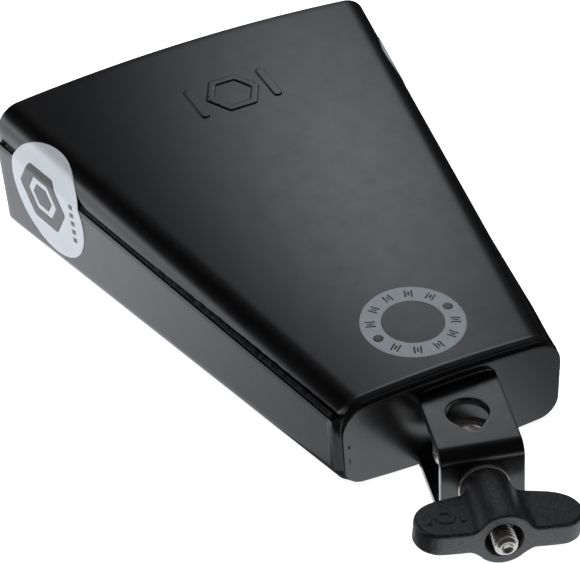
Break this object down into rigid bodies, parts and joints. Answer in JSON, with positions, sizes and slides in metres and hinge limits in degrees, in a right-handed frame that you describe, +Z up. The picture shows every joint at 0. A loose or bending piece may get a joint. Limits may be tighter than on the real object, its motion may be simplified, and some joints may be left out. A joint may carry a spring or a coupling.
{
  "type": "cowbell",
  "caption": "Black steel cowbell for a drum kit: tapered bell of two folded shells with a rod clamp, eye bolt and wing nut at its closed end.",
  "frame": {"origin": "middle of the rod clamp: on the rod's axis, half way between the two legs of the bracket", "axes": "+Y from the closed crown end to the open mouth, +Z up out of the striking face, +X to the right seen from the crown end; the lower face's centre line is level, so the bell lies on it"},
  "size_m": [0.1488, 0.2683, 0.0553],
  "materials": {
    "top_shell": "satin black powder coat",
    "lower_shell": "satin black powder coat",
    "crown_plate": "satin black powder coat",
    "crown_weld": "ground weld under satin black powder coat",
    "seam_weld_left": "satin black powder coat over a weld",
    "seam_weld_right": "satin black powder coat over a weld",
    "clamp_bracket": "satin black powder coat",
    "bracket_weld_upper": "glossy black paint over a weld bead",
    "bracket_weld_lower": "glossy black paint over a weld bead",
    "eye_bolt": "bright nickel plate",
    "washer": "bright zinc plate",
    "wing_grip": "grained black moulding",
    "wing_insert": "plain machined steel",
    "side_label_left": "satin silver film",
    "side_label_right": "satin silver film",
    "printed_ring": "grey screen print"
  },
  "bodies": {
    "bell": {"top_shell": "top_shell", "lower_shell": "lower_shell", "crown_plate": "crown_plate", "crown_weld": "crown_weld", "seam_weld_left": "seam_weld_left", "seam_weld_right": "seam_weld_right", "clamp_bracket": "clamp_bracket", "bracket_weld_upper": "bracket_weld_upper", "bracket_weld_lower": "bracket_weld_lower", "washer": "washer", "side_label_left": "side_label_left", "side_label_right": "side_label_right", "printed_ring": "printed_ring"},
    "eye_bolt": {"eye_bolt": "eye_bolt"},
    "wing_nut": {"wing_grip": "wing_grip", "wing_insert": "wing_insert"}
  },
  "joints": [
    {"name": "wing_nut_turn", "type": "hinge", "parent": "bell", "child": "wing_nut", "pos_m": [0, 0, 0], "axis": [0.2588, 0.965, 0.0425], "range_deg": [0, 1580]},
    {"name": "eye_bolt_slide", "type": "slide", "parent": "bell", "child": "eye_bolt", "axis": [-0.2588, -0.965, -0.0425], "range_m": [0, 0.0066]}
  ],
  "couplings": [
    {"joint": "eye_bolt_slide", "follows": "wing_nut_turn", "m_per_rad": 0.00023873}
  ]
}
